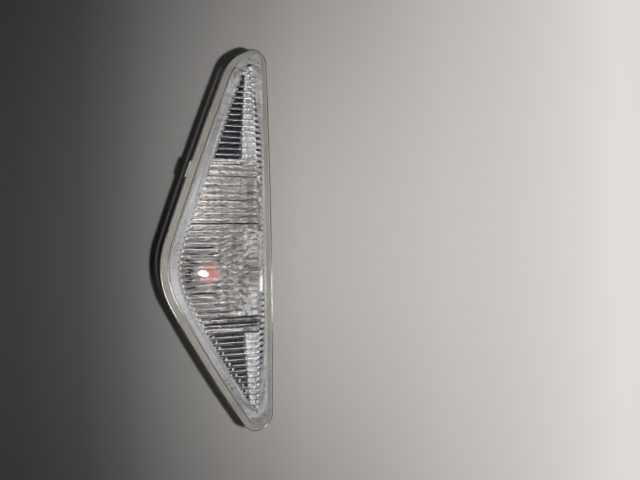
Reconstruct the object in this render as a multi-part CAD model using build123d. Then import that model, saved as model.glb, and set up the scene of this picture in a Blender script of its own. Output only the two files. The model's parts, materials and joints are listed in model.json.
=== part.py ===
from build123d import *
import os
from math import ceil, radians, sqrt, tan

# A side repeater lamp that clips into a cut-out in a car's front wing. All sizes are in millimetres.
# X runs along the lamp, Y across it towards the peak of its outline, and Z out through the lens.
# The outer skin of the panel is the plane Z = 0, and what lies below it goes through the cut-out.

# Outline of the lens flange: four corners before rounding, and how far each side bows outwards
LONG_REACH = 67.8
SHORT_REACH = 77.0
EDGE_Y = -18.1
EDGE_BOW = 1.1
SHOULDER_BACK = 6.6
SHOULDER_RISE = 12.6
PEAK_X = -10.7
PEAK_Y = 19.7
LONG_SIDE_BOW = 0.5
SHORT_SIDE_BOW = 1.7
LONG_TIP_R = 4.5
SHOULDER_R = 13.0
PEAK_R = 28.0
SHORT_TIP_R = 5.5

# Lens: a flange round a raised body whose wide face and narrow facet meet in a ridge
FLANGE_W = 2.5
FLANGE_T = 1.6
LENS_HEIGHT = 10.4
RIDGE_Y = -12.4
FACE_SLOPE = 5.4
FACET_SLOPE = 50.0
RIDGE_CROWN_R = 540.0
PEAK_CROWN_R = 210.0
LENS_ROOF = 2.2
LENS_WALL = 3.2
EDGE_WALL = 3.9
LENS_ROUND = 1.4
RIDGE_ROUND = 5.0
STEP_GROOVE_W = 0.45
STEP_GROOVE_DEPTH = 0.4
FLUTE_PITCH = 1.9
FLUTE_DEPTH = 0.3

# Seal between the lens flange and the panel, with the tab that locates it
SEAL_T = 2.0
SEAL_SETBACK = 0.3
SEAL_W = 2.0
TAB_X = 23.4
TAB_LENGTH = 5.6
TAB_PROUD = 0.4

# Well of the lamp, the deep part between its two flat ends
WELL_LONG_END = 26.3
WELL_SHORT_END = -30.2
WELL_INSET = 5.9

# Reflector: flange, bowl round the bulb, stepped facets, ramp along the straight side
REFLECTOR_T = 0.9
FOCAL_LENGTH = 6.5
BULB_HOLE_R = 6.2
STEP_START = 3.0
STEP_COUNT = 3
STEP_FLOOR = -6.5
STEP_RISE = 2.2
STEP_HOLLOW = 0.4
ROW_START = 7.0
ROW_COUNT = 5
ROW_FLOOR = -7.1
ROW_RISE = 2.8
ROW_HOLLOW = 0.3
ROW_Y = -5.6
SHELF_LENGTH = 5.0
SHELF_FLOOR = -3.0
PAD_BACK = 1.8
PAD_LENGTH = 4.6
PAD_WIDTH = 9.0
PAD_Y = -3.4
PAD_TOP = -2.6
RAMP_Y = -8.2
RAMP_BOW = 4.0
RAMP_SLOPE = 34.0
RAMP_FOOT = 0.8
RAMP_GAP = 1.0
RAMP_FIT = 0.3
WINDOW_BAR = 0.6

# Housing: rim plate over the panel, well through it, hook at the long end
RIM_INSET = 2.5
PANEL_GAP = 0.1
WELL_FIT = 0.3
HOUSING_WALL = 1.5
FLOOR_T = 2.0
DEEP_END = 5.0
DEEP_SLOPE_RUN = 5.0
SHALLOW_FLOOR = -8.3
PANEL_T = 0.9
PANEL_FIT = 0.4
HOOK_WIDTH = 12.0
HOOK_REACH = 3.2
HOOK_T = 3.0
HOOK_Y = -6.0
RIB_COUNT = 3
RIB_T = 1.2
RIB_SPACING = 5.5

# Retaining spring at the short end, and the rails that hold it on the housing
SPRING_T = 0.6
SPRING_WIDTH = 9.0
SPRING_Y = -4.5
SPRING_LENGTH = 12.5
SPRING_BEND_R = 1.6
SPRING_GAP = 3.4
SPRING_PROUD = 5.4
CATCH_BEND_R = 0.9
CATCH_DROP = 4.2
CATCH_RUN = 2.6
RAIL_WIDTH = 1.6
RAIL_LIP = 1.0
RAIL_LIP_T = 1.2
SPRING_FIT = 0.1
SPRING_TOP = -1.6
PEG_R = 1.0
RAIL_TOP = -2.6

# Capless bulb: round envelope on a flat wedge
BULB_X = -10.6
BULB_Y = 2.6
BULB_TIP_Z = 3.0
BULB_R = 5.0
BULB_LENGTH = 26.5
GLASS_T = 0.7
WEDGE_WIDTH = 9.5
WEDGE_T = 2.1
WEDGE_LENGTH = 8.6
WEDGE_ROUND = 0.8
BULB_SHOULDER = 3.5
BULB_NECK_R = 3.3
BULB_NECK_DROP = 3.2
LEAD_D = 0.5
LEAD_OFFSET = 2.6
LEAD_FOLD = 5.5
LEAD_SINK = 0.15
LEAD_BEND_R = 0.5
FILAMENT_DROP = 5.6
FILAMENT_D = 0.6
FILAMENT_RISE = 1.4
FILAMENT_BEND_R = 0.9

# Twist-lock bulb holder: neck through the housing floor, three ears, grip flange, plug socket
NECK_R = 7.6
BULB_SEAT_DEPTH = 1.0
NECK_FIT = 0.25
EAR_COUNT = 3
EAR_REACH = 2.0
EAR_T = 1.7
EAR_ANGLE = 40.0
EAR_GAP = 0.1
NOTCH_EXTRA = 4.0
TURN_ANGLE = 45.0
STOP_ANGLE = 6.0
GASKET_T = 1.6
GASKET_W = 2.6
GRIP_R = 11.0
GRIP_T = 2.2
GRIP_SCALLOPS = 10
SCALLOP_R = 1.6
SCALLOP_DEPTH = 0.7
SLOT_FIT = 0.25
SOCKET_WIDTH = 12.4
SOCKET_HEIGHT = 9.6
SOCKET_DEPTH = 10.0
SOCKET_WALL = 1.2
SOCKET_R = 1.5
LATCH_WIDTH = 4.6
LATCH_PROUD = 1.2
LATCH_LENGTH = 2.4

# Contacts: bent strips from the bulb's wedge to the plug blades
CONTACT_T = 0.6
CONTACT_WIDTH = 2.8
CONTACT_BEND_R = 0.7
CONTACT_FIT = 0.08
BLADE_LENGTH = 7.2
SOCKET_FLOOR_T = 1.4

# Levels and places that follow from the sizes above
SEAT_Z = SEAL_T
FLANGE_TOP = SEAT_Z + FLANGE_T
RIM_TOP = SEAT_Z - REFLECTOR_T
BULB_BASE_Z = BULB_TIP_Z - BULB_LENGTH
WEDGE_TOP_Z = BULB_BASE_Z + WEDGE_LENGTH
HOLDER_TOP = WEDGE_TOP_Z + BULB_SEAT_DEPTH
FLOOR_TOP = HOLDER_TOP - EAR_T - EAR_GAP
FLOOR_BOTTOM = FLOOR_TOP - FLOOR_T
GRIP_TOP = FLOOR_BOTTOM - GASKET_T
GRIP_BOTTOM = GRIP_TOP - GRIP_T
LEAD_Y = WEDGE_T / 2 + LEAD_D / 2 - LEAD_SINK
CONTACT_Y = LEAD_Y + LEAD_D / 2 + CONTACT_FIT + CONTACT_T / 2
CROSS_Z = BULB_BASE_Z - LEAD_D - CONTACT_FIT - CONTACT_T
SOCKET_TOP = CROSS_Z - CONTACT_T - SOCKET_FLOOR_T
SOCKET_MOUTH = SOCKET_TOP - SOCKET_DEPTH
FOCUS_Z = BULB_TIP_Z - FILAMENT_DROP
BOWL_Z = FOCUS_Z - FOCAL_LENGTH
HOUSING_GROW = REFLECTOR_T + WELL_FIT
HOUSING_LONG_END = WELL_LONG_END + HOUSING_GROW + HOUSING_WALL
HOUSING_SHORT_END = WELL_SHORT_END - HOUSING_GROW - HOUSING_WALL
SPRING_LEG_END = -SPRING_LENGTH + SPRING_BEND_R + SPRING_T
PEG_Z = (SPRING_TOP + SPRING_LEG_END) / 2

# Longer than any piece, for solids that are cut back to the lamp
SKY = 60.0


def bowed_side(start, end, bow):
    """One side of the outline, bowed to the right of its direction, which is outwards."""
    along = end - start
    outward = Vector(along.Y, -along.X).normalized()
    return ThreePointArc(start, (start + end) * 0.5 + outward * bow, end)


SHORT_TIP = Vector(-SHORT_REACH, EDGE_Y)
LONG_TIP = Vector(LONG_REACH, EDGE_Y)
SHOULDER = Vector(LONG_REACH - SHOULDER_BACK, EDGE_Y + SHOULDER_RISE)
PEAK = Vector(PEAK_X, PEAK_Y)
LONG_SIDE = bowed_side(SHOULDER, PEAK, LONG_SIDE_BOW)


def plain_arc(edge):
    """The same edge as a circular arc, where an offset has left it as an offset curve."""
    if edge.geom_type == GeomType.OFFSET:
        return ThreePointArc(edge @ 0, edge @ 0.5, edge @ 1)
    return edge


def outline(inset=0.0):
    """The flange outline, or a line that runs inside it at a constant distance."""
    edge = bowed_side(SHORT_TIP, LONG_TIP, EDGE_BOW)
    short_side = bowed_side(PEAK, SHORT_TIP, SHORT_SIDE_BOW)
    face = make_face(Curve() + [edge, Line(LONG_TIP, SHOULDER), LONG_SIDE, short_side])
    rounding = ((SHORT_TIP, SHORT_TIP_R), (LONG_TIP, LONG_TIP_R), (SHOULDER, SHOULDER_R), (PEAK, PEAK_R))
    for corner, radius in rounding:
        face = fillet(face.vertices().sort_by_distance(corner)[0], radius)
    if not inset:
        return face
    return make_face([plain_arc(side) for side in offset(face, -inset).edges()])


def prism(face, bottom, top):
    """A flat face pulled up from one level to another."""
    return extrude(Pos(0, 0, bottom) * face, top - bottom)


def block(x_low, x_high, y_low, y_high, z_low, z_high):
    """A box between given faces."""
    middle = ((x_low + x_high) / 2, (y_low + y_high) / 2, (z_low + z_high) / 2)
    return Pos(*middle) * Box(x_high - x_low, y_high - y_low, z_high - z_low)


def well_face(grow=0.0):
    """Plan of the well, grown outwards: the inset outline between two straight ends."""
    return outline(WELL_INSET - grow) & between_ends(grow)


def crown_drop(x, y):
    """How far the crown has dropped at a place. Its curve tightens from the ridge to the peak."""
    share = (y - RIDGE_Y) / (PEAK_Y - RIDGE_Y)
    curvature = (1 - share) / RIDGE_CROWN_R + share / PEAK_CROWN_R
    return curvature * x**2 / 2


def below(line):
    """Flat section of everything below a line in the XZ plane."""
    deep = Vector(0, 0, 2 * SKY)
    sides = Polyline(line @ 1, (line @ 1) - deep, (line @ 0) - deep, line @ 0)
    return make_face(Curve() + [line, sides])


def under_plane(height, slope):
    """Everything below a plane that passes the ridge line at a height and rises towards the peak."""
    rise = SKY * tan(radians(slope))
    low = Vector(0, RIDGE_Y - SKY, height - rise)
    high = Vector(0, RIDGE_Y + SKY, height + rise)
    deep = low.Z - SKY
    section = make_face(Polyline(low, high, (0, high.Y, deep), (0, low.Y, deep), low))
    return extrude(Pos(-2 * SKY, 0, 0) * section, 4 * SKY, dir=(1, 0, 0))


def face_line(height, y, flute_depth):
    """The wide face along X at one place: a smooth arc, or a row of shallow scallops that hang from it."""
    count = ceil(max(LONG_REACH, SHORT_REACH) / FLUTE_PITCH)
    cusps = [k * FLUTE_PITCH for k in range(-count, count + 1)]

    def on_line(x, below=0.0):
        return Vector(x, 0, height - crown_drop(x, y) - below)

    if not flute_depth:
        return Wire(ThreePointArc(on_line(cusps[0]), on_line(0), on_line(cusps[-1])))
    scallops = [
        ThreePointArc(on_line(a), on_line((a + b) / 2, flute_depth), on_line(b))
        for a, b in zip(cusps, cusps[1:])
    ]
    return Wire(scallops)


def under_face(height, flute_depth=0.0):
    """Everything below the lens's wide face, ruled between one section on each side of the lamp."""
    sections = []
    for y in (EDGE_Y - EDGE_BOW - FLANGE_W, PEAK_Y + FLANGE_W):
        level = height - (y - RIDGE_Y) * tan(radians(FACE_SLOPE))
        sections.append(Pos(0, y, 0) * below(face_line(level, y, flute_depth)))
    return loft(sections, ruled=True)


def hollow_face(fit=0.0):
    """Plan of the lens's hollow, flat along the bowed edge, or of what stands inside it with a fit."""
    flat = EDGE_Y - EDGE_BOW + FLANGE_W + EDGE_WALL + fit
    inside = Pos(0, flat) * Rectangle(4 * SKY, 2 * SKY, align=(Align.CENTER, Align.MIN))
    return outline(FLANGE_W + LENS_WALL + fit) & inside


def make_lens():
    """Clear lens: flange with a groove at its step, rounded raised body, fluted hollow below it."""
    roof = under_face(LENS_HEIGHT) & under_plane(LENS_HEIGHT, FACET_SLOPE)
    ridge = roof.edges().sort_by(lambda e: (e @ 0.5).Z)[-1]
    wall = outline(FLANGE_W)
    body = prism(wall, SEAT_Z, SKY) & fillet(ridge, RIDGE_ROUND)

    def on_wall(edge):
        middle = edge @ 0.5
        above_flange = edge.bounding_box().min.Z > FLANGE_TOP
        return above_flange and wall.wire().distance_to(Vector(middle.X, middle.Y)) < LENS_ROUND / 100

    body = fillet(body.edges().filter_by(on_wall), LENS_ROUND)
    groove = outline(FLANGE_W - STEP_GROOVE_W) - outline(FLANGE_W + STEP_GROOVE_W)
    flange = prism(outline(), SEAT_Z, FLANGE_TOP) - prism(groove, FLANGE_TOP - STEP_GROOVE_DEPTH, FLANGE_TOP)
    hollow = prism(hollow_face(), SEAT_Z, SKY) & under_face(LENS_HEIGHT - LENS_ROOF, FLUTE_DEPTH)
    return flange + body - hollow


def make_panel_seal():
    """Soft ring below the flange, with one small tab that looks out past the lens's edge."""
    ring = outline(SEAL_SETBACK) - outline(SEAL_SETBACK + SEAL_W)
    along = (SHOULDER.X - TAB_X) / (SHOULDER.X - PEAK.X)
    place = Plane(origin=LONG_SIDE @ along, x_dir=LONG_SIDE % along)
    depth = TAB_PROUD + SEAL_SETBACK + SEAL_W / 2
    tab = place * Pos(0, depth / 2 - TAB_PROUD) * RectangleRounded(TAB_LENGTH, depth, TAB_PROUD / 2)
    return prism(ring + tab, 0, SEAT_Z)


def sawtooth_line(start, count, floor, rise, hollow):
    """Floor of stepped facets along X: each one rises away from the bulb, slightly hollowed."""
    length = (WELL_LONG_END + REFLECTOR_T - start) / count
    line = []
    for step in range(count):
        near = Vector(start + step * length, 0, floor)
        far = near + Vector(length, 0, rise)
        middle = (near + far) * 0.5 - Vector(0, 0, hollow)
        if line:
            line.append(Line(line[-1] @ 1, near))
        line.append(ThreePointArc(near, middle, far))
    return line


def across(lines):
    """A closed profile in the XZ plane pulled right across the lamp."""
    face = make_face(Curve() + lines)
    return extrude(Pos(0, -SKY, 0) * face, 2 * SKY, dir=(0, 1, 0))


def above(lines):
    """Everything above a line in the XZ plane."""
    start = lines[0] @ 0
    end = lines[-1] @ 1
    lid = Polyline(end, (end.X, 0, SKY), (start.X, 0, SKY), start)
    return across([*lines, lid])


def bowl_space(lower=0.0):
    """The space in front of the reflecting surface, or the same space lowered by a wall."""
    rim_r = 2 * sqrt(FOCAL_LENGTH * SKY)
    curve = Bezier((0, 0, BOWL_Z), (rim_r / 2, 0, BOWL_Z), (rim_r, 0, BOWL_Z + SKY))
    lid = Polyline(curve @ 1, (0, 0, BOWL_Z + SKY), curve @ 0)
    bowl = Pos(BULB_X, BULB_Y, 0) * revolve(make_face(Curve() + [curve, lid]), Axis.Z)
    shelf_end = WELL_SHORT_END + SHELF_LENGTH
    shelf = Line((WELL_SHORT_END - REFLECTOR_T, 0, SHELF_FLOOR), (shelf_end, 0, SHELF_FLOOR))
    steps = above(sawtooth_line(STEP_START, STEP_COUNT, STEP_FLOOR, STEP_RISE, STEP_HOLLOW))
    row = above(sawtooth_line(ROW_START, ROW_COUNT, ROW_FLOOR, ROW_RISE, ROW_HOLLOW))
    row &= block(ROW_START, SKY, -SKY, ROW_Y + lower, -SKY, 2 * SKY)
    return Pos(0, 0, -lower) * (bowl + steps + row + above([shelf]))


def beside_ramp(shift=0.0):
    """Plan of the lamp on the ramp's side of its bowed inner edge, with that edge shifted across."""
    ends_y = RAMP_Y - RAMP_BOW + shift
    edge = ThreePointArc((-LONG_REACH, ends_y), (0, RAMP_Y + shift), (LONG_REACH, ends_y))
    far = 2 * SKY
    rest = Polyline(edge @ 1, (far, ends_y), (far, -SKY), (-far, -SKY), (-far, ends_y), edge @ 0)
    return make_face(Curve() + [edge, rest])


def between_ends(grow):
    """Plan of the band across the lamp between the well's two ends, grown outwards."""
    middle = (WELL_LONG_END + WELL_SHORT_END) / 2
    return Pos(middle, 0) * Rectangle(WELL_LONG_END - WELL_SHORT_END + 2 * grow, 2 * SKY)


def make_reflector():
    """Metallised insert: flange, ramp, bowl and stepped facets, all one thin wall."""
    ramp_top = under_plane(SEAT_Z + RAMP_FOOT, RAMP_SLOPE)
    ramp_top &= under_face(LENS_HEIGHT - LENS_ROOF - FLUTE_DEPTH - RAMP_GAP)
    ramp = prism(hollow_face(RAMP_FIT) & beside_ramp(), RIM_TOP, SKY) & ramp_top
    inner_plan = hollow_face(RAMP_FIT + REFLECTOR_T) & beside_ramp(-REFLECTOR_T)
    inner_plan -= between_ends(REFLECTOR_T)
    ramp_hollow = prism(inner_plan, RIM_TOP, SKY) & (Pos(0, 0, -REFLECTOR_T) * ramp_top)
    windows = outline(WELL_INSET) - beside_ramp() - between_ends(WINDOW_BAR)
    flange = prism(outline(RIM_INSET) - windows, RIM_TOP, SEAT_Z)
    shell = prism(well_face(REFLECTOR_T), -SKY, SEAT_Z) & bowl_space(REFLECTOR_T)
    pad_x = WELL_LONG_END - PAD_BACK
    pad_half = PAD_WIDTH / 2
    pad = block(pad_x - PAD_LENGTH, pad_x, PAD_Y - pad_half, PAD_Y + pad_half, -SKY, PAD_TOP)
    space = (prism(well_face(), -SKY, SKY) & bowl_space()) - pad
    hole = Pos(BULB_X, BULB_Y, 0) * Cylinder(BULB_HOLE_R, 2 * SKY)
    return flange + ramp + shell - ramp_hollow - space - hole


def ring_sector(inner_r, outer_r, angle, centre):
    """Plan of a piece of a ring, about the bulb's axis."""
    reach = 2 * outer_r
    half = radians(angle / 2)
    wedge = Polygon((0, 0), (reach, -reach * tan(half)), (reach, reach * tan(half)), align=None)
    return Rot(0, 0, centre) * ((Circle(outer_r) - Circle(inner_r)) & wedge)


def housing_profile():
    """Side view of the housing below its rim: deep round the bulb, shallow towards the long end."""
    bottom = SHALLOW_FLOOR - HOUSING_WALL
    return make_face(
        Polyline(
            (HOUSING_SHORT_END, 0, RIM_TOP),
            (HOUSING_SHORT_END, 0, FLOOR_BOTTOM),
            (DEEP_END, 0, FLOOR_BOTTOM),
            (DEEP_END + DEEP_SLOPE_RUN, 0, bottom),
            (HOUSING_LONG_END, 0, bottom),
            (HOUSING_LONG_END, 0, RIM_TOP),
            (HOUSING_SHORT_END, 0, RIM_TOP),
        )
    )


def make_hook():
    """Fixed nose that goes behind the panel at the long end, with a slanted lead-in."""
    top = -PANEL_T - PANEL_FIT
    root = HOUSING_LONG_END - HOUSING_WALL / 2
    nose = HOUSING_LONG_END + HOOK_REACH
    profile = Polyline(
        (root, 0, top),
        (nose, 0, top),
        (nose, 0, top - HOOK_T / 2),
        (HOUSING_LONG_END, 0, top - HOOK_T),
        (root, 0, top - HOOK_T),
        (root, 0, top),
    )
    return extrude(Pos(0, HOOK_Y - HOOK_WIDTH / 2, 0) * make_face(profile), HOOK_WIDTH, dir=(0, 1, 0))


def make_ribs():
    """Stiffening ribs under the shallow end of the well."""
    bottom = SHALLOW_FLOOR - HOUSING_WALL / 2
    start = DEEP_END + HOUSING_WALL
    profile = Polyline(
        (start, 0, bottom),
        (start, 0, FLOOR_BOTTOM + FLOOR_T),
        (HOUSING_LONG_END - HOUSING_WALL, 0, bottom),
        (start, 0, bottom),
    )
    rib = extrude(Pos(0, HOOK_Y - RIB_T / 2, 0) * make_face(profile), RIB_T, dir=(0, 1, 0))
    first = -(RIB_COUNT - 1) / 2
    return [Pos(0, (first + k) * RIB_SPACING, 0) * rib for k in range(RIB_COUNT)]


def make_rails():
    """Two lipped rails and a peg that hold the retaining spring against the short end."""
    half = SPRING_WIDTH / 2 + SPRING_FIT
    depth = SPRING_T + 2 * SPRING_FIT
    wall = HOUSING_SHORT_END
    lip_end = wall - depth - RAIL_LIP_T
    rail = block(wall - depth, wall + HOUSING_WALL / 2, half, half + RAIL_WIDTH, SPRING_LEG_END, RAIL_TOP)
    rail += block(lip_end, wall - depth, half - RAIL_LIP, half + RAIL_WIDTH, SPRING_LEG_END, RAIL_TOP)
    place = Pos(0, SPRING_Y, 0)
    peg = Pos(wall, SPRING_Y, PEG_Z) * Rot(0, 90, 0) * Cylinder(PEG_R, 2 * SPRING_T)
    return [place * rail, place * mirror(rail, Plane.XZ), peg]


def make_housing():
    """Black back: rim plate, stepped well with the holder's opening, hook, ribs and spring rails."""
    profile = housing_profile()
    whole = extrude(Pos(0, -SKY, 0) * profile, 2 * SKY, dir=(0, 1, 0))
    inside = offset(profile, -HOUSING_WALL, kind=Kind.INTERSECTION)
    inside = extrude(Pos(0, -SKY, 0) * inside, 2 * SKY, dir=(0, 1, 0))
    mouth = prism(well_face(HOUSING_GROW), RIM_TOP - HOUSING_WALL, SKY)
    hollow = mouth + (prism(well_face(HOUSING_GROW), FLOOR_TOP, RIM_TOP) & inside)
    body = prism(outline(RIM_INSET), PANEL_GAP, RIM_TOP)
    body += prism(well_face(HOUSING_GROW + HOUSING_WALL), FLOOR_BOTTOM, RIM_TOP) & whole
    body += make_ribs()
    body -= hollow
    body += make_hook()
    body += make_rails()
    opening = Circle(NECK_R + NECK_FIT)
    stops = []
    for ear in range(EAR_COUNT):
        centre = ear * 360 / EAR_COUNT
        notch_r = NECK_R + EAR_REACH + NECK_FIT
        opening += ring_sector(NECK_R / 2, notch_r, EAR_ANGLE + NOTCH_EXTRA, centre - TURN_ANGLE)
        stop_centre = centre + EAR_ANGLE / 2 + STOP_ANGLE
        stops.append(ring_sector(NECK_R + 2 * NECK_FIT, NECK_R + EAR_REACH, STOP_ANGLE, stop_centre))
    place = Pos(BULB_X, BULB_Y, 0)
    body -= place * prism(opening, -SKY, FLOOR_TOP + FLOOR_T)
    body += [place * prism(stop, FLOOR_TOP, FLOOR_TOP + EAR_T) for stop in stops]
    return body


def make_retaining_spring():
    """Steel leaf: flat leg in the rails, U bend, sprung arm with the slanted catch at its end."""
    wall = HOUSING_SHORT_END - SPRING_FIT - SPRING_T / 2
    knee = HOUSING_SHORT_END - SPRING_PROUD
    path = FilletPolyline(
        (wall, SPRING_Y, SPRING_TOP),
        (wall, SPRING_Y, -SPRING_LENGTH),
        (wall - SPRING_GAP, SPRING_Y, -SPRING_LENGTH),
        (knee, SPRING_Y, -CATCH_DROP),
        (knee + CATCH_RUN, SPRING_Y, SPRING_TOP),
        radius=[SPRING_BEND_R, SPRING_BEND_R, CATCH_BEND_R],
    )
    start = Plane(origin=path @ 0, x_dir=(0, 1, 0), z_dir=path % 0)
    leaf = sweep(start * Rectangle(SPRING_WIDTH, SPRING_T), path)
    hole = Pos(wall, SPRING_Y, PEG_Z) * Rot(0, 90, 0) * Cylinder(PEG_R + SPRING_FIT, 2 * SPRING_T)
    return leaf - hole


def plug_socket():
    """Open box for the plug at the back of the holder, with a catch for the plug's latch."""
    width = SOCKET_WIDTH + 2 * SOCKET_WALL
    height = SOCKET_HEIGHT + 2 * SOCKET_WALL
    shell = prism(RectangleRounded(width, height, SOCKET_R), SOCKET_MOUTH, GRIP_BOTTOM)
    inside = RectangleRounded(SOCKET_WIDTH, SOCKET_HEIGHT, SOCKET_R - SOCKET_WALL / 2)
    shell -= prism(inside, SOCKET_MOUTH, SOCKET_TOP)
    catch_top = SOCKET_MOUTH + SOCKET_DEPTH / 2
    profile = Polyline(
        (0, height / 2 - SOCKET_WALL / 2, catch_top),
        (0, height / 2 + LATCH_PROUD, catch_top),
        (0, height / 2, catch_top - LATCH_LENGTH),
        (0, height / 2 - SOCKET_WALL / 2, catch_top - LATCH_LENGTH),
        (0, height / 2 - SOCKET_WALL / 2, catch_top),
    )
    return shell + extrude(Pos(-LATCH_WIDTH / 2, 0, 0) * make_face(profile), LATCH_WIDTH, dir=(1, 0, 0))


def grip_flange():
    """Round flange with finger scallops."""
    face = Circle(GRIP_R)
    reach = GRIP_R + SCALLOP_R - SCALLOP_DEPTH
    for k in range(GRIP_SCALLOPS):
        face -= Rot(0, 0, k * 360 / GRIP_SCALLOPS) * Pos(reach, 0) * Circle(SCALLOP_R)
    return prism(face, GRIP_BOTTOM, GRIP_TOP)


def make_bulb_holder():
    """Black holder: neck and ears in the housing floor, wedge slot, contact pockets, plug socket."""
    body = prism(Circle(NECK_R), GRIP_TOP, HOLDER_TOP) + grip_flange() + plug_socket()
    for ear in range(EAR_COUNT):
        face = ring_sector(NECK_R / 2, NECK_R + EAR_REACH, EAR_ANGLE, ear * 360 / EAR_COUNT)
        body += prism(face, HOLDER_TOP - EAR_T, HOLDER_TOP)
    slot = RectangleRounded(WEDGE_WIDTH + 2 * SLOT_FIT, WEDGE_T + 2 * SLOT_FIT, SLOT_FIT)
    body -= prism(slot, CROSS_Z, HOLDER_TOP)
    body -= prism(Circle(BULB_R + SLOT_FIT), WEDGE_TOP_Z, HOLDER_TOP)
    half = CONTACT_WIDTH / 2 + CONTACT_FIT
    for side in (-1, 1):
        middle = side * LEAD_OFFSET
        far = CONTACT_Y + CONTACT_T + CONTACT_BEND_R
        near = -CONTACT_T / 2 - CONTACT_FIT
        pocket = block(middle - half, middle + half, near, far, CROSS_Z - CONTACT_T, HOLDER_TOP)
        blade_slot = block(middle - half, middle + half, near, -near, SOCKET_TOP, CROSS_Z)
        cut = pocket + blade_slot
        body -= cut if side < 0 else mirror(cut, Plane.XZ)
    return Pos(BULB_X, BULB_Y, 0) * body


def make_holder_gasket():
    """Soft ring that the grip flange presses against the housing floor."""
    ring = Circle(NECK_R + NECK_FIT + GASKET_W) - Circle(NECK_R + NECK_FIT / 2)
    return Pos(BULB_X, BULB_Y, 0) * prism(ring, GRIP_TOP, FLOOR_BOTTOM)


def make_contact(side):
    """Bent strip: lead-in lip, leg along the bulb's wedge, step to the middle, plug blade."""
    x = side * LEAD_OFFSET
    y = -side * CONTACT_Y
    flare = -side * CONTACT_T
    top = WEDGE_TOP_Z - CONTACT_T
    path = FilletPolyline(
        (x, y + flare, top),
        (x, y, top - 2 * CONTACT_BEND_R - CONTACT_T),
        (x, y, CROSS_Z),
        (x, 0, CROSS_Z),
        (x, 0, SOCKET_TOP - BLADE_LENGTH),
        radius=CONTACT_BEND_R,
    )
    start = Plane(origin=path @ 0, x_dir=(1, 0, 0), z_dir=path % 0)
    return Pos(BULB_X, BULB_Y, 0) * sweep(start * Rectangle(CONTACT_WIDTH, CONTACT_T), path)


def lead_path(side):
    """Line of a bulb wire: down through the wedge, round its lower edge and back up in a groove."""
    x = side * LEAD_OFFSET
    y = -side * LEAD_Y
    low = BULB_BASE_Z - LEAD_D / 2
    return FilletPolyline(
        (x, 0, FOCUS_Z - FILAMENT_RISE),
        (x, 0, low),
        (x, y, low),
        (x, y, BULB_BASE_Z + LEAD_FOLD),
        radius=LEAD_BEND_R,
    )


def make_lead(side):
    """One bulb wire."""
    path = lead_path(side)
    section = Plane(origin=path @ 0, z_dir=path % 0) * Circle(LEAD_D / 2)
    return Pos(BULB_X, BULB_Y, 0) * sweep(section, path)


def make_filament():
    """Filament bridge between the tops of the two wires."""
    low = FOCUS_Z - FILAMENT_RISE
    path = FilletPolyline(
        (-LEAD_OFFSET, 0, low),
        (-LEAD_OFFSET, 0, FOCUS_Z),
        (LEAD_OFFSET, 0, FOCUS_Z),
        (LEAD_OFFSET, 0, low),
        radius=FILAMENT_BEND_R,
    )
    section = Plane(origin=path @ 0, z_dir=path % 0) * Circle(FILAMENT_D / 2)
    return Pos(BULB_X, BULB_Y, 0) * sweep(section, path)


def envelope(radius, tip, shoulder):
    """Round part of the bulb: dome, straight side and a shoulder that runs in to the wedge."""
    neck_r = radius - BULB_R + BULB_NECK_R
    neck_z = shoulder - BULB_NECK_DROP
    lean = radius * sqrt(0.5)
    dome = ThreePointArc((0, 0, tip), (lean, 0, tip - radius + lean), (radius, 0, tip - radius))
    side = Polyline(dome @ 1, (radius, 0, shoulder), (neck_r, 0, neck_z), (0, 0, neck_z), dome @ 0)
    return revolve(make_face(Curve() + [dome, side]), Axis.Z)


def make_bulb_glass(leads):
    """Glass envelope: hollow round part and solid wedge, with the wires sealed into it."""
    shoulder = WEDGE_TOP_Z + BULB_SHOULDER
    glass = envelope(BULB_R, BULB_TIP_Z, shoulder)
    wedge = RectangleRounded(WEDGE_WIDTH, WEDGE_T, WEDGE_ROUND)
    glass += prism(wedge, BULB_BASE_Z, WEDGE_TOP_Z + BULB_SEAT_DEPTH)
    glass -= envelope(BULB_R - GLASS_T, BULB_TIP_Z - GLASS_T, shoulder + GLASS_T)
    return Pos(BULB_X, BULB_Y, 0) * glass - leads


def make_all():
    """Every piece of the lamp by its name."""
    supply_lead = make_lead(-1)
    earth_lead = make_lead(1)
    return {
        "lens": make_lens(),
        "panel_seal": make_panel_seal(),
        "reflector": make_reflector(),
        "housing": make_housing(),
        "retaining_spring": make_retaining_spring(),
        "bulb_holder": make_bulb_holder(),
        "holder_gasket": make_holder_gasket(),
        "supply_contact": make_contact(-1),
        "earth_contact": make_contact(1),
        "bulb_glass": make_bulb_glass([supply_lead, earth_lead]),
        "bulb_filament": make_filament(),
        "supply_lead": supply_lead,
        "earth_lead": earth_lead,
    }


if __name__ == "__main__":
    os.makedirs("parts", exist_ok=True)
    for name, shape in make_all().items():
        export_step(shape, f"parts/{name}.step")
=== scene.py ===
"""Looks of the side repeater lamp, in metres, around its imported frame."""

import json
from math import cos, radians, sin

import bmesh
import bpy
from mathutils import Matrix, Vector
from mathutils.bvhtree import BVHTree


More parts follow.
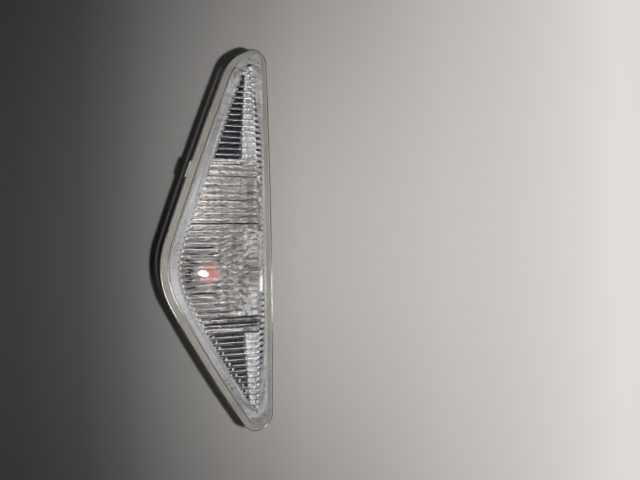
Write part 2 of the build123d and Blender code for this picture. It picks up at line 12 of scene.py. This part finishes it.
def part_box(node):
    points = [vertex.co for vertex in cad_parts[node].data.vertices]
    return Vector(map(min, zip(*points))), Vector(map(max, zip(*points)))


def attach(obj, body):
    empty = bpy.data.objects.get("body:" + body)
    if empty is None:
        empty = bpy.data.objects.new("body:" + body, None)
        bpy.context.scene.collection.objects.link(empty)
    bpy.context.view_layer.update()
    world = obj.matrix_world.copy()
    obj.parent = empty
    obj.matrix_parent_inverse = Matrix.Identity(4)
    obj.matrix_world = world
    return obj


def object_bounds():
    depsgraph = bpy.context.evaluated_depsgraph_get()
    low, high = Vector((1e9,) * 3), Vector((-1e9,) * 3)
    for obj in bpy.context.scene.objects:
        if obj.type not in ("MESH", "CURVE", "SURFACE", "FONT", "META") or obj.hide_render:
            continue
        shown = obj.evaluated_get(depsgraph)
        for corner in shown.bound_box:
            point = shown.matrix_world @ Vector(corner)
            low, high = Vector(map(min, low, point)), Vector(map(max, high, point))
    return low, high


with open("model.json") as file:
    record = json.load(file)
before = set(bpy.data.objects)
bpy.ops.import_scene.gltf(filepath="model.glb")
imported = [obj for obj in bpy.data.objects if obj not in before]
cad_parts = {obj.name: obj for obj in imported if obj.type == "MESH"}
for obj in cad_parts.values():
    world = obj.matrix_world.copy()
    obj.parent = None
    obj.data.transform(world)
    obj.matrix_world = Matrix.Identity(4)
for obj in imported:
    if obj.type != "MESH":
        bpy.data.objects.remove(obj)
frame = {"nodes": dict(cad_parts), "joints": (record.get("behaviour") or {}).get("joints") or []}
cad_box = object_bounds()
nodes = frame["nodes"]

# Camera: where it stands from the lens, how far it turns aside, and its focal length in pixels
LENS_MIDDLE = Vector((0.0, 0.0, 0.004))
CAMERA_REACH = 0.1658
CAMERA_LEAN = 11.0
CAMERA_ASIDE = 11.9
CAMERA_RISE = -0.11
CAMERA_ROLL = -0.95
FOCAL_PIXELS = 493.0
IMAGE_WIDTH = 640.0
SENSOR = 36.0
NEAR_CLIP = 0.005

# Outline of the lens flange: its corners, how far each side bows outwards, and its rounding
SHORT_TIP = Vector((-0.0770, -0.0181, 0.0))
LONG_TIP = Vector((0.0678, -0.0181, 0.0))
SHOULDER = Vector((0.0612, -0.0055, 0.0))
PEAK = Vector((-0.0107, 0.0197, 0.0))
FLANGE_SIDES = (
    (SHORT_TIP, LONG_TIP, 0.0011),
    (LONG_TIP, SHOULDER, 0.0001),
    (SHOULDER, PEAK, 0.0005),
    (PEAK, SHORT_TIP, 0.0017),
)
CORNER_ROUND = 0.013

# Scale that leaves a place's height out
FLAT = (1.0, 1.0, 0.0)

# Flutes inside the lens, and the beads that they end in
FLUTE_PITCH = 0.0019
BEAD_R = 0.00046
SMALL_BEAD_R = 0.00036
BEAD_STANDOFF = 0.0002
BEAD_INSET = 0.0013
BEAD_SUBDIVISIONS = 2

# Where beads are looked for: a line along the lens's hollow, and the stretches of it that differ
HOLLOW_MIDDLE = -0.0118
BEAD_LEVEL = 0.0030
PLAIN_STRETCH = (0.0147, 0.055)
SHORT_WINDOW = -0.031
LONG_WINDOW = 0.0263

# Clear acrylic of lens and beads: tints, roughness from clean to smudged, and that of the fluted underside;
# the beads with white frosting stand as painted glints at the flutes' ends
ACRYLIC_IOR = 1.49
LENS_TINT = (0.965, 0.97, 0.975, 1.0)
POLISH = (0.015, 0.06)
FACING_DOWN = (-0.2, -0.4)
FLUTE_ROUGHNESS = 0.15
BEAD_TINT = (0.90, 0.905, 0.92, 1.0)
BEAD_ROUGHNESS = (0.18, 0.4)
PAINTED_GLINT_CLEARNESS = 0.2
CLEAR_CLEARNESS = 0.85

# Scales of clouds, lines, smudges and grain, here and below, are counts to the metre
# Skin of a moulding: its grain, and the slow drift of its tone
GRAIN_DETAIL = 4.0
GRAIN_STRENGTH = 0.4
TONE_CLOUDS = 140.0
TONE_RANGE = (0.3, 0.7)

# Marks of handling: rubbed lines, each set's turn and how far it is drawn out, and smudges
RUBBED_LINES = 1500.0
RUBBED_ROUGHNESS = 0.2
RUBBED_SETS = ((0.4, 0.03), (-1.1, 0.05))
RUBBED_TILT = (0.2, 0.3)
RUBBED_DEPTH = 0.6
RUBBED_RANGE = (0.66, 0.72)
SMUDGES = 90.0
SMUDGE_DETAIL = 5.0
SMUDGE_RANGE = (0.52, 0.75)

# Reflector: where its satin rim starts, the ends of its bowl, and the side where its skin is uneven and its
# painted reflections strongest
SATIN_LEVEL = 0.00095
SATIN_EDGE = 0.0001
BOWL_LONG_END = (0.002, 0.003)
BOWL_SHORT_END = (-0.0255, -0.0265)
UNEVEN_SPAN = (0.004, -0.004)
UNEVEN_LEAST = 0.35

# Streaks of the satin rim: how many to the metre across it, and how much longer they are along it
STREAKS = 1500.0
STREAK_STRETCH = 0.03
STREAK_DETAIL = 3.0
STREAK_RANGE = (0.40, 0.66)
RIM_DARK = (0.38, 0.38, 0.385)
RIM_PALE = (0.66, 0.67, 0.69)

# Metal of the reflector: its tones, dull and bright for painted reflections and dark at the short end for
# painted shade, its roughness in the bowl and outside it, and how uneven it is
METAL_DULL = (0.52, 0.485, 0.472)
METAL_BRIGHT = (1.0, 0.96, 0.94)
METAL_SHORT_END_SHADE = (0.17, 0.163, 0.16)
METAL_SHARE = 0.75
BOWL_ROUGHNESS = 0.28
MATT_ROUGHNESS = 0.48
CLOUDS = 480.0
CLOUD_DETAIL = 3.0
CLOUD_RANGE = (0.40, 0.66)
BLOBS = 260.0
BLOB_RANGE = (0.35, 0.65)
BLOB_HEIGHT = 4.0
SKIN_STRENGTH = 1.0
SKIN_RELIEF = 0.0005

# Coat of the bulb: its tones near the axis and away from it, and where it changes; near the axis the rosy
# tone is partly the coat's tint and partly a painted halo round the glint
BULB_AXIS = Vector((*frame["joints"][0]["pos_m"][:2], 0.0))
COAT_ROSY_AND_HALO = (0.90, 0.28, 0.24)
COAT_GREY = (0.52, 0.49, 0.49)
COAT_SPAN = (0.0012, 0.0036)
COAT_METAL_SHARE = 0.5
COAT_ROUGHNESS = 0.2

# Floor: the stretch across it that its stops divide, its colour with painted light and shade, the painted
# glow that is seen, and its far side
FLOOR_HALF = 1.5
FLOOR_ROUGHNESS = 0.8
FLOOR_SPAN = (0.07, -0.25)
FLOOR_LIGHT_AND_SHADE = (
    (0.02, (0.082, 0.085, 0.082)),
    (0.085, (0.118, 0.121, 0.117)),
    (0.13, (0.190, 0.192, 0.185)),
    (0.225, (0.47, 0.463, 0.447)),
    (0.292, (0.70, 0.67, 0.65)),
    (0.363, (0.86, 0.82, 0.79)),
)
FLOOR_PAINTED_GLOW = (
    (0.30, (0.0, 0.0, 0.0)),
    (0.363, (0.05, 0.047, 0.045)),
    (0.60, (0.32, 0.305, 0.297)),
    (1.0, (0.66, 0.63, 0.615)),
)
FLOOR_FAR = (0.085, 0.34)
FAR_COLOUR = (0.62, 0.60, 0.58)
FAR_GLOW = (0.40, 0.385, 0.375)

# World: its even fill, and the horizon with the dark above it that gloss and glass show
FILL_COLOUR = (0.5, 0.5, 0.52, 1.0)
WORLD_FILL = 0.05
HORIZON_SPAN = (0.6, -0.9)
HORIZON_DIM = (0.34, 0.36, 0.39)
HORIZON_PALE = (0.62, 0.58, 0.56)
OVERHEAD_SPAN = (0.04, 0.22)
OVERHEAD = (0.03, 0.031, 0.034)

# Lamps: two small ones beside the camera, and a soft one from the straight side
WARM = (1.0, 0.98, 0.96)
SMALL_LAMP = 0.005
FLASH_ASIDE = Vector((-0.006, -0.019, 0.0))
FLASH_WATTS = 0.2
GLINT_ASIDE = Vector((-0.031, -0.0215, 0.0))
GLINT_WATTS = 0.12
SIDE_LAMP = 0.16
SIDE_SPOT = Vector((0.0, -0.30, 0.20))
SIDE_TARGET = Vector((0.0, -0.05, 0.0))
SIDE_WATTS = 0.015


def placed(name, data):
    """A new object in the scene."""
    thing = bpy.data.objects.new(name, data)
    bpy.context.scene.collection.objects.link(thing)
    return thing


def placed_mesh(name, mesh, material):
    """A new object from a finished bmesh, with its material."""
    data = bpy.data.meshes.new(name)
    mesh.to_mesh(data)
    mesh.free()
    data.materials.append(material)
    return placed(name, data)


def place_camera():
    """A camera above the lens, leaning to the peak's side, with the lamp left of the picture's middle."""
    lean = radians(CAMERA_LEAN)
    aim = radians(CAMERA_LEAN + CAMERA_ASIDE)
    spot = LENS_MIDDLE + Vector((0.0, sin(lean), cos(lean))) * CAMERA_REACH
    forward = Vector((0.0, -sin(aim), -cos(aim)))
    right = forward.cross(Vector((1.0, 0.0, 0.0))).normalized()
    up = right.cross(forward)
    turn = Matrix((right, up, -forward)).transposed().to_4x4()
    turn @= Matrix.Rotation(radians(CAMERA_RISE), 4, "X")
    data = bpy.data.cameras.new("camera")
    data.sensor_width = SENSOR
    data.lens = SENSOR * FOCAL_PIXELS / IMAGE_WIDTH
    data.clip_start = NEAR_CLIP
    camera = placed("camera", data)
    camera.matrix_world = Matrix.Translation(spot) @ turn @ Matrix.Rotation(radians(CAMERA_ROLL), 4, "Z")
    bpy.context.scene.camera = camera
    return spot


def area_lamp(name, spot, target, size, watts):
    """A round lamp that looks at a target."""
    data = bpy.data.lights.new(name, "AREA")
    data.shape = "DISK"
    data.size = size
    data.energy = watts
    data.color = WARM
    lamp = placed(name, data)
    lamp.location = spot
    lamp.rotation_euler = (target - spot).to_track_quat("-Z", "Y").to_euler()
    return lamp


def add(tree, kind, **settings):
    """A new node with some of its settings."""
    node = tree.nodes.new(kind)
    for name, value in settings.items():
        setattr(node, name, value)
    return node


def wire(tree, source, target):
    """A link between two sockets."""
    tree.links.new(source, target)


def mapped(tree, value, low, high, to_low=0.0, to_high=1.0):
    """A value stretched from one range to another, held at the ends."""
    node = add(tree, "ShaderNodeMapRange")
    wire(tree, value, node.inputs["Value"])
    for name, number in (("From Min", low), ("From Max", high), ("To Min", to_low), ("To Max", to_high)):
        node.inputs[name].default_value = number
    return node.outputs["Result"]


def between(tree, mask, low, high):
    """A value that a mask moves from one number to another."""
    return mapped(tree, mask, 0.0, 1.0, low, high)


def combined(tree, operation, first, second):
    """Two values joined by one math operation."""
    node = add(tree, "ShaderNodeMath", operation=operation)
    wire(tree, first, node.inputs[0])
    wire(tree, second, node.inputs[1])
    return node.outputs["Value"]


def mixed(tree, mask, first, second):
    """Two colours mixed by a mask, each one plain or from a socket."""
    node = add(tree, "ShaderNodeMix", data_type="RGBA")
    wire(tree, mask, node.inputs["Factor"])
    for name, colour in (("A", first), ("B", second)):
        if isinstance(colour, tuple):
            node.inputs[name].default_value = (*colour, 1.0)
        else:
            wire(tree, colour, node.inputs[name])
    return node.outputs["Result"]


def ramp_of(tree, value, stops):
    """A colour that runs through a few stops."""
    node = add(tree, "ShaderNodeValToRGB")
    wire(tree, value, node.inputs["Fac"])
    points = node.color_ramp.elements
    while len(points) < len(stops):
        points.new(0.5)
    for point, (place, colour) in zip(points, stops):
        point.position = place
        point.color = (*colour, 1.0)
    return node.outputs["Color"]


def noise(tree, place, scale, detail=2.0):
    """Cloudy noise at a place, with a plain or linked scale."""
    node = add(tree, "ShaderNodeTexNoise")
    node.inputs["Detail"].default_value = detail
    wire(tree, place, node.inputs["Vector"])
    if isinstance(scale, float):
        node.inputs["Scale"].default_value = scale
    else:
        wire(tree, scale, node.inputs["Scale"])
    return node.outputs["Fac"]


def split_place(tree, coordinates="Object"):
    """A place, or in the world a direction, whole and split along X, Y and Z."""
    spot = add(tree, "ShaderNodeTexCoord").outputs[coordinates]
    split = add(tree, "ShaderNodeSeparateXYZ")
    wire(tree, spot, split.inputs["Vector"])
    return spot, split.outputs


def new_group(name, inputs, outputs):
    """An empty shader group with number sockets and Object coordinates."""
    group = bpy.data.node_groups.new(name, "ShaderNodeTree")
    for way, labels in (("INPUT", inputs), ("OUTPUT", outputs)):
        for label in labels:
            group.interface.new_socket(label, in_out=way, socket_type="NodeSocketFloat")
    entry = add(group, "NodeGroupInput")
    leave = add(group, "NodeGroupOutput")
    place = add(group, "ShaderNodeTexCoord").outputs["Object"]
    return group, entry.outputs, leave.inputs, place


def make_moulded_grain():
    """Fine skin of a moulding and its slow change of shine."""
    group, given, out, place = new_group("moulded_grain", ("Grain",), ("Height", "Tone"))
    wire(group, noise(group, place, given["Grain"], GRAIN_DETAIL), out["Height"])
    wire(group, mapped(group, noise(group, place, TONE_CLOUDS), *TONE_RANGE), out["Tone"])
    return group


def make_handling_marks():
    """Fine rubbed lines in two directions, and faint smudges."""
    group, given, out, place = new_group("handling_marks", ("Lines",), ("Lines", "Smudge"))
    strength = []
    for turn, stretch in RUBBED_SETS:
        turned = add(group, "ShaderNodeMapping")
        turned.inputs["Rotation"].default_value = (*RUBBED_TILT, turn)
        turned.inputs["Scale"].default_value = (stretch, 1.0, RUBBED_DEPTH)
        wire(group, place, turned.inputs["Vector"])
        lines = noise(group, turned.outputs["Vector"], given["Lines"])
        strength.append(mapped(group, lines, *RUBBED_RANGE))
    wire(group, combined(group, "MAXIMUM", *strength), out["Lines"])
    wire(group, mapped(group, noise(group, place, SMUDGES, SMUDGE_DETAIL), *SMUDGE_RANGE), out["Smudge"])
    return group


def make_rim_depth():
    """How far in from the flange's outline a place lies, seen from above."""
    group, given, out, place = new_group("rim_depth", ("Rounding",), ("Depth",))
    flat = add(group, "ShaderNodeVectorMath", operation="MULTIPLY")
    flat.inputs[1].default_value = FLAT
    wire(group, place, flat.inputs[0])
    depth = None
    for start, end, bow in FLANGE_SIDES:
        along = end - start
        outward = along.cross(Vector((0.0, 0.0, 1.0))).normalized()
        radius = (along.length_squared / 4 + bow**2) / (2 * bow)
        reach = add(group, "ShaderNodeVectorMath", operation="DISTANCE")
        reach.inputs[1].default_value = (start + end) / 2 + outward * (bow - radius)
        wire(group, flat.outputs["Vector"], reach.inputs[0])
        side = add(group, "ShaderNodeMath", operation="SUBTRACT")
        side.inputs[0].default_value = radius
        wire(group, reach.outputs["Value"], side.inputs[1])
        if depth is None:
            depth = side.outputs["Value"]
            continue
        nearest = add(group, "ShaderNodeMath", operation="SMOOTH_MIN")
        wire(group, depth, nearest.inputs[0])
        wire(group, side.outputs["Value"], nearest.inputs[1])
        wire(group, given["Rounding"], nearest.inputs[2])
        depth = nearest.outputs["Value"]
    wire(group, depth, out["Depth"])
    return group


moulded_grain = make_moulded_grain()
handling_marks = make_handling_marks()
rim_depth = make_rim_depth()


def new_finish(name):
    """An empty node material and its main shader."""
    material = bpy.data.materials.new(name)
    material.use_nodes = True
    return material, material.node_tree, material.node_tree.nodes["Principled BSDF"]


def effect(tree, group, **sizes):
    """A shared effect, with the sizes that its used outputs need."""
    node = add(tree, "ShaderNodeGroup", node_tree=group)
    for name, value in sizes.items():
        node.inputs[name].default_value = value
    return node.outputs


def bump(tree, shader, height, strength, distance):
    """Surface relief from a height."""
    node = add(tree, "ShaderNodeBump")
    node.inputs["Strength"].default_value = strength
    node.inputs["Distance"].default_value = distance
    wire(tree, height, node.inputs["Height"])
    wire(tree, node.outputs["Normal"], shader.inputs["Normal"])


def let_lamps_through(tree, shader):
    """Clear material that doesn't stop the lamps' light."""
    path = add(tree, "ShaderNodeLightPath")
    through = add(tree, "ShaderNodeBsdfTransparent")
    mix = add(tree, "ShaderNodeMixShader")
    wire(tree, path.outputs["Is Shadow Ray"], mix.inputs["Fac"])
    wire(tree, shader.outputs["BSDF"], mix.inputs[1])
    wire(tree, through.outputs["BSDF"], mix.inputs[2])
    wire(tree, mix.outputs["Shader"], tree.nodes["Material Output"].inputs["Surface"])


def clear_acrylic():
    """Clear lens, polished outside with faint smudges, and left as moulded on the fluted underside."""
    material, tree, shader = new_finish("clear_acrylic")
    shader.inputs["Base Color"].default_value = LENS_TINT
    shader.inputs["IOR"].default_value = ACRYLIC_IOR
    shader.inputs["Transmission Weight"].default_value = 1.0
    polish = between(tree, effect(tree, handling_marks)["Smudge"], *POLISH)
    surface = add(tree, "ShaderNodeNewGeometry")
    normal = add(tree, "ShaderNodeSeparateXYZ")
    wire(tree, surface.outputs["Normal"], normal.inputs["Vector"])
    # Seen from inside the acrylic a normal is turned round, so there it is turned back
    outward = between(tree, surface.outputs["Backfacing"], 1.0, -1.0)
    rise = combined(tree, "MULTIPLY", normal.outputs["Z"], outward)
    underside = mapped(tree, rise, *FACING_DOWN, 0.0, FLUTE_ROUGHNESS)
    wire(tree, combined(tree, "MAXIMUM", polish, underside), shader.inputs["Roughness"])
    let_lamps_through(tree, shader)
    return material


def moulding(name, tones, roughness, grain, relief):
    """Moulded plastic or rubber: a tone and a shine that drift, with a fine skin."""
    material, tree, shader = new_finish(name)
    skin = effect(tree, moulded_grain, Grain=grain)
    wire(tree, mixed(tree, skin["Tone"], *tones), shader.inputs["Base Color"])
    wire(tree, between(tree, skin["Tone"], *roughness), shader.inputs["Roughness"])
    bump(tree, shader, skin["Height"], GRAIN_STRENGTH, relief)
    return material


def strip_metal(name, dull, bright, roughness):
    """Rolled metal strip with rubbed lines."""
    material, tree, shader = new_finish(name)
    shader.inputs["Metallic"].default_value = 1.0
    marks = effect(tree, handling_marks, Lines=RUBBED_LINES)
    wire(tree, mixed(tree, marks["Smudge"], bright, dull), shader.inputs["Base Color"])
    rubbed = between(tree, marks["Lines"], roughness, roughness + RUBBED_ROUGHNESS)
    wire(tree, rubbed, shader.inputs["Roughness"])
    return material


def satin_rim(tree, place):
    """Tone of the pale rim, in streaks that run along the flange's outline."""
    along = add(tree, "ShaderNodeCombineXYZ")
    wire(tree, effect(tree, rim_depth, Rounding=CORNER_ROUND)["Depth"], along.inputs["X"])
    drawn_out = mapped(tree, place["X"], -1.0, 1.0, -STREAK_STRETCH, STREAK_STRETCH)
    wire(tree, drawn_out, along.inputs["Y"])
    streak = mapped(tree, noise(tree, along.outputs["Vector"], STREAKS, STREAK_DETAIL), *STREAK_RANGE)
    return mixed(tree, streak, RIM_DARK, RIM_PALE)


def bright_reflector():
    """Metallised inside with an uneven skin, painted reflections in its tone and painted shade at its short
    end, and a pale satin edge where the lens is bonded on.
    """
    material, tree, shader = new_finish("bright_reflector")
    spot, place = split_place(tree)
    satin = mapped(tree, place["Z"], SATIN_LEVEL - SATIN_EDGE, SATIN_LEVEL + SATIN_EDGE)
    uneven = mapped(tree, place["Y"], *UNEVEN_SPAN, UNEVEN_LEAST, 1.0)
    # Painted reflections: clouds of dull and bright metal, strongest on the straight side, which also give
    # the skin's relief
    relief_and_sheen = mapped(tree, noise(tree, spot, CLOUDS, CLOUD_DETAIL), *CLOUD_RANGE)
    relief_and_sheen = combined(tree, "MULTIPLY", relief_and_sheen, uneven)
    past_bowl = mapped(tree, place["X"], *BOWL_LONG_END)
    before_bowl = mapped(tree, place["X"], *BOWL_SHORT_END)
    # Painted shade: the metal is darker at the short end, before the bowl
    metal = mixed(tree, before_bowl, mixed(tree, relief_and_sheen, METAL_DULL, METAL_BRIGHT), METAL_SHORT_END_SHADE)
    wire(tree, mixed(tree, satin, metal, satin_rim(tree, place)), shader.inputs["Base Color"])
    wire(tree, between(tree, satin, METAL_SHARE, 0.0), shader.inputs["Metallic"])
    matt = combined(tree, "MAXIMUM", combined(tree, "MAXIMUM", past_bowl, before_bowl), satin)
    wire(tree, between(tree, matt, BOWL_ROUGHNESS, MATT_ROUGHNESS), shader.inputs["Roughness"])
    inside = combined(tree, "MULTIPLY", uneven, between(tree, satin, 1.0, 0.0))
    blob = mapped(tree, noise(tree, spot, BLOBS), *BLOB_RANGE, 0.0, BLOB_HEIGHT)
    blob = combined(tree, "MULTIPLY", blob, inside)
    bump(tree, shader, combined(tree, "ADD", relief_and_sheen, blob), SKIN_STRENGTH, SKIN_RELIEF)
    return material


def coated_glass():
    """Bulb with a thin coat, rosy close to its axis, partly as its tint and partly as a painted halo round
    the glint, and grey further out.
    """
    material, tree, shader = new_finish("coated_glass")
    shader.inputs["Metallic"].default_value = COAT_METAL_SHARE
    shader.inputs["Roughness"].default_value = COAT_ROUGHNESS
    centred = add(tree, "ShaderNodeMapping")
    centred.inputs["Location"].default_value = -BULB_AXIS
    centred.inputs["Scale"].default_value = FLAT
    wire(tree, add(tree, "ShaderNodeTexCoord").outputs["Object"], centred.inputs["Vector"])
    length = add(tree, "ShaderNodeVectorMath", operation="LENGTH")
    wire(tree, centred.outputs["Vector"], length.inputs[0])
    away = mapped(tree, length.outputs["Value"], *COAT_SPAN)
    # Painted halo: the rosy tone round the axis, where the glint falls
    wire(tree, mixed(tree, away, COAT_ROSY_AND_HALO, COAT_GREY), shader.inputs["Base Color"])
    return material


def bead_finish(name, clearness):
    """Small round ends of the flutes, either nearly clear or with white frosting as painted glints."""
    material, tree, shader = new_finish(name)
    shader.inputs["Base Color"].default_value = BEAD_TINT
    shader.inputs["IOR"].default_value = ACRYLIC_IOR
    shader.inputs["Transmission Weight"].default_value = clearness
    smudge = effect(tree, handling_marks)["Smudge"]
    wire(tree, between(tree, smudge, *BEAD_ROUGHNESS), shader.inputs["Roughness"])
    return material


def search_tree(name):
    """A CAD node's surface, ready to be hit by rays."""
    mesh = bmesh.new()
    mesh.from_mesh(nodes[name].data)
    tree = BVHTree.FromBMesh(mesh)
    mesh.free()
    return tree


def facing_hit(tree, start, direction):
    """Just in front of where a ray meets a surface that faces it, or nothing."""
    place, normal, _, _ = tree.ray_cast(start, direction)
    if place is None or normal.dot(direction) > 0.0:
        return None
    return place + normal * BEAD_STANDOFF


def bead_places():
    """Where the flutes end, each bead's size and whether it has white frosting as a painted glint: on the
    walls and above the ramp.
    """
    lens = search_tree("lens")
    reflector = search_tree("reflector")
    low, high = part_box("lens")
    count = int((high[0] - low[0]) / 2 / FLUTE_PITCH)
    across = Vector((0.0, 1.0, 0.0))
    up = Vector((0.0, 0.0, 1.0))
    for step in range(-count, count):
        start = Vector(((step + 0.5) * FLUTE_PITCH, HOLLOW_MIDDLE, BEAD_LEVEL))
        far_wall = facing_hit(lens, start, across)
        near_wall = facing_hit(lens, start, -across)
        beside_window = not SHORT_WINDOW < start.x < LONG_WINDOW
        found = [(near_wall, BEAD_R, beside_window)]
        if far_wall:
            found.append((facing_hit(reflector, far_wall - across * BEAD_R, -across), BEAD_R, True))
            if start.x < SHORT_WINDOW:
                found.append((far_wall - across * BEAD_INSET, SMALL_BEAD_R, True))
            else:
                plain = PLAIN_STRETCH[0] < start.x < PLAIN_STRETCH[1]
                found.append((far_wall, SMALL_BEAD_R if plain else BEAD_R, not plain))
        for place, radius, painted_glint in found:
            roof = place and facing_hit(lens, place, up)
            if roof:
                yield roof, radius, painted_glint


def lens_beads(name, beads, material):
    """Small beads inside the lens, one at each end of a flute."""
    mesh = bmesh.new()
    for place, radius in beads:
        spot = Matrix.Translation(place)
        bmesh.ops.create_icosphere(mesh, subdivisions=BEAD_SUBDIVISIONS, radius=radius, matrix=spot)
    for face in mesh.faces:
        face.smooth = True
    piece = placed_mesh(name, mesh, material)
    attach(piece, "lamp_body")


def dress(material, *names):
    """Gives CAD nodes their finish."""
    for name in names:
        slots = nodes[name].data.materials
        slots.clear()
        slots.append(material)


def any_view(tree):
    """One for what is looked at, mirrored or seen through glass, and none for light on a surface."""
    path = add(tree, "ShaderNodeLightPath")
    either = path.outputs["Is Camera Ray"]
    for name in ("Is Glossy Ray", "Is Transmission Ray"):
        either = combined(tree, "MAXIMUM", either, path.outputs[name])
    return either


def pale_floor():
    """Floor finish with painted light and shade, bright to the straight side, dim by the peak, and pale
    again further off.
    """
    material, tree, shader = new_finish("pale_floor")
    _, place = split_place(tree)
    aside = mapped(tree, place["Y"], *FLOOR_SPAN)
    rise = mapped(tree, place["Y"], *FLOOR_FAR)
    far = combined(tree, "MULTIPLY", rise, rise)
    # Painted light and shade: the floor's colour runs from dim by the peak to bright on the straight side
    colour = mixed(tree, far, ramp_of(tree, aside, FLOOR_LIGHT_AND_SHADE), FAR_COLOUR)
    wire(tree, colour, shader.inputs["Base Color"])
    shader.inputs["Roughness"].default_value = FLOOR_ROUGHNESS
    # Painted light: a glow that is only seen, none by the peak, rising to the straight side
    glow = mixed(tree, far, ramp_of(tree, aside, FLOOR_PAINTED_GLOW), FAR_GLOW)
    wire(tree, glow, shader.inputs["Emission Color"])
    wire(tree, any_view(tree), shader.inputs["Emission Strength"])
    return material


def floor():
    """Plain floor under the lamp."""
    level = Matrix.Translation((0.0, 0.0, cad_box[0][2]))
    mesh = bmesh.new()
    bmesh.ops.create_grid(mesh, x_segments=1, y_segments=1, size=FLOOR_HALF, matrix=level)
    placed_mesh("floor", mesh, pale_floor())


def studio_world():
    """Low even light, with a pale horizon for what mirrors it."""
    world = bpy.data.worlds.new("studio")
    world.use_nodes = True
    tree = world.node_tree
    soft = tree.nodes["Background"]
    soft.inputs["Color"].default_value = FILL_COLOUR
    soft.inputs["Strength"].default_value = WORLD_FILL
    seen = add(tree, "ShaderNodeBackground")
    _, direction = split_place(tree, "Generated")
    horizon = mixed(tree, mapped(tree, direction["Y"], *HORIZON_SPAN), HORIZON_DIM, HORIZON_PALE)
    overhead = mapped(tree, direction["Z"], *OVERHEAD_SPAN)
    wire(tree, mixed(tree, overhead, horizon, OVERHEAD), seen.inputs["Color"])
    mix = add(tree, "ShaderNodeMixShader")
    wire(tree, any_view(tree), mix.inputs["Fac"])
    wire(tree, soft.outputs["Background"], mix.inputs[1])
    wire(tree, seen.outputs["Background"], mix.inputs[2])
    wire(tree, mix.outputs["Shader"], tree.nodes["World Output"].inputs["Surface"])
    bpy.context.scene.world = world


def studio_lamps(camera_spot):
    """A small lamp beside the camera for the shadow, one for the glints, and a softer one from the side."""
    flash = area_lamp("flash", camera_spot + FLASH_ASIDE, LENS_MIDDLE, SMALL_LAMP, FLASH_WATTS)
    flash.visible_glossy = False
    flash.visible_transmission = False
    glint = area_lamp("glint", camera_spot + GLINT_ASIDE, LENS_MIDDLE, SMALL_LAMP, GLINT_WATTS)
    glint.visible_diffuse = False
    area_lamp("side_lamp", SIDE_SPOT, SIDE_TARGET, SIDE_LAMP, SIDE_WATTS)


pale_seal = moulding(
    "pale_seal",
    tones=((0.36, 0.34, 0.32), (0.42, 0.40, 0.37)),
    roughness=(0.75, 0.6),
    grain=3000.0,
    relief=0.00006,
)
black_housing = moulding(
    "black_housing",
    tones=((0.005, 0.007, 0.012), (0.011, 0.013, 0.019)),
    roughness=(0.40, 0.26),
    grain=3500.0,
    relief=0.00003,
)
black_holder = moulding(
    "black_holder",
    tones=((0.016, 0.016, 0.018), (0.024, 0.024, 0.026)),
    roughness=(0.45, 0.36),
    grain=5000.0,
    relief=0.00004,
)
gasket_rubber = moulding(
    "gasket_rubber",
    tones=((0.022, 0.022, 0.023), (0.034, 0.034, 0.034)),
    roughness=(0.8, 0.7),
    grain=3000.0,
    relief=0.00005,
)
spring_steel = strip_metal(
    "spring_steel",
    dull=(0.40, 0.41, 0.43),
    bright=(0.56, 0.57, 0.58),
    roughness=0.26,
)
contact_brass = strip_metal(
    "contact_brass",
    dull=(0.52, 0.37, 0.17),
    bright=(0.76, 0.58, 0.30),
    roughness=0.24,
)
filament_wire = strip_metal(
    "filament_wire",
    dull=(0.24, 0.24, 0.25),
    bright=(0.36, 0.36, 0.38),
    roughness=0.35,
)
lead_wire = strip_metal(
    "lead_wire",
    dull=(0.48, 0.46, 0.43),
    bright=(0.64, 0.62, 0.58),
    roughness=0.3,
)

dress(clear_acrylic(), "lens")
dress(pale_seal, "panel_seal")
dress(bright_reflector(), "reflector")
dress(black_housing, "housing")
dress(spring_steel, "retaining_spring")
dress(black_holder, "bulb_holder")
dress(gasket_rubber, "holder_gasket")
dress(contact_brass, "supply_contact", "earth_contact")
dress(coated_glass(), "bulb_glass")
dress(filament_wire, "bulb_filament")
dress(lead_wire, "supply_lead", "earth_lead")

painted_glint_ends = []
clear_ends = []
for bead_place, bead_radius, bead_painted_glint in bead_places():
    ends = painted_glint_ends if bead_painted_glint else clear_ends
    ends.append((bead_place, bead_radius))
# The beads with white frosting are painted glints at the flutes' ends
lens_beads("painted_glint_beads", painted_glint_ends, bead_finish("painted_glint_bead", PAINTED_GLINT_CLEARNESS))
lens_beads("clear_beads", clear_ends, bead_finish("clear_bead", CLEAR_CLEARNESS))
floor()
studio_world()
studio_lamps(place_camera())
bpy.context.scene.view_settings.view_transform = "Standard"
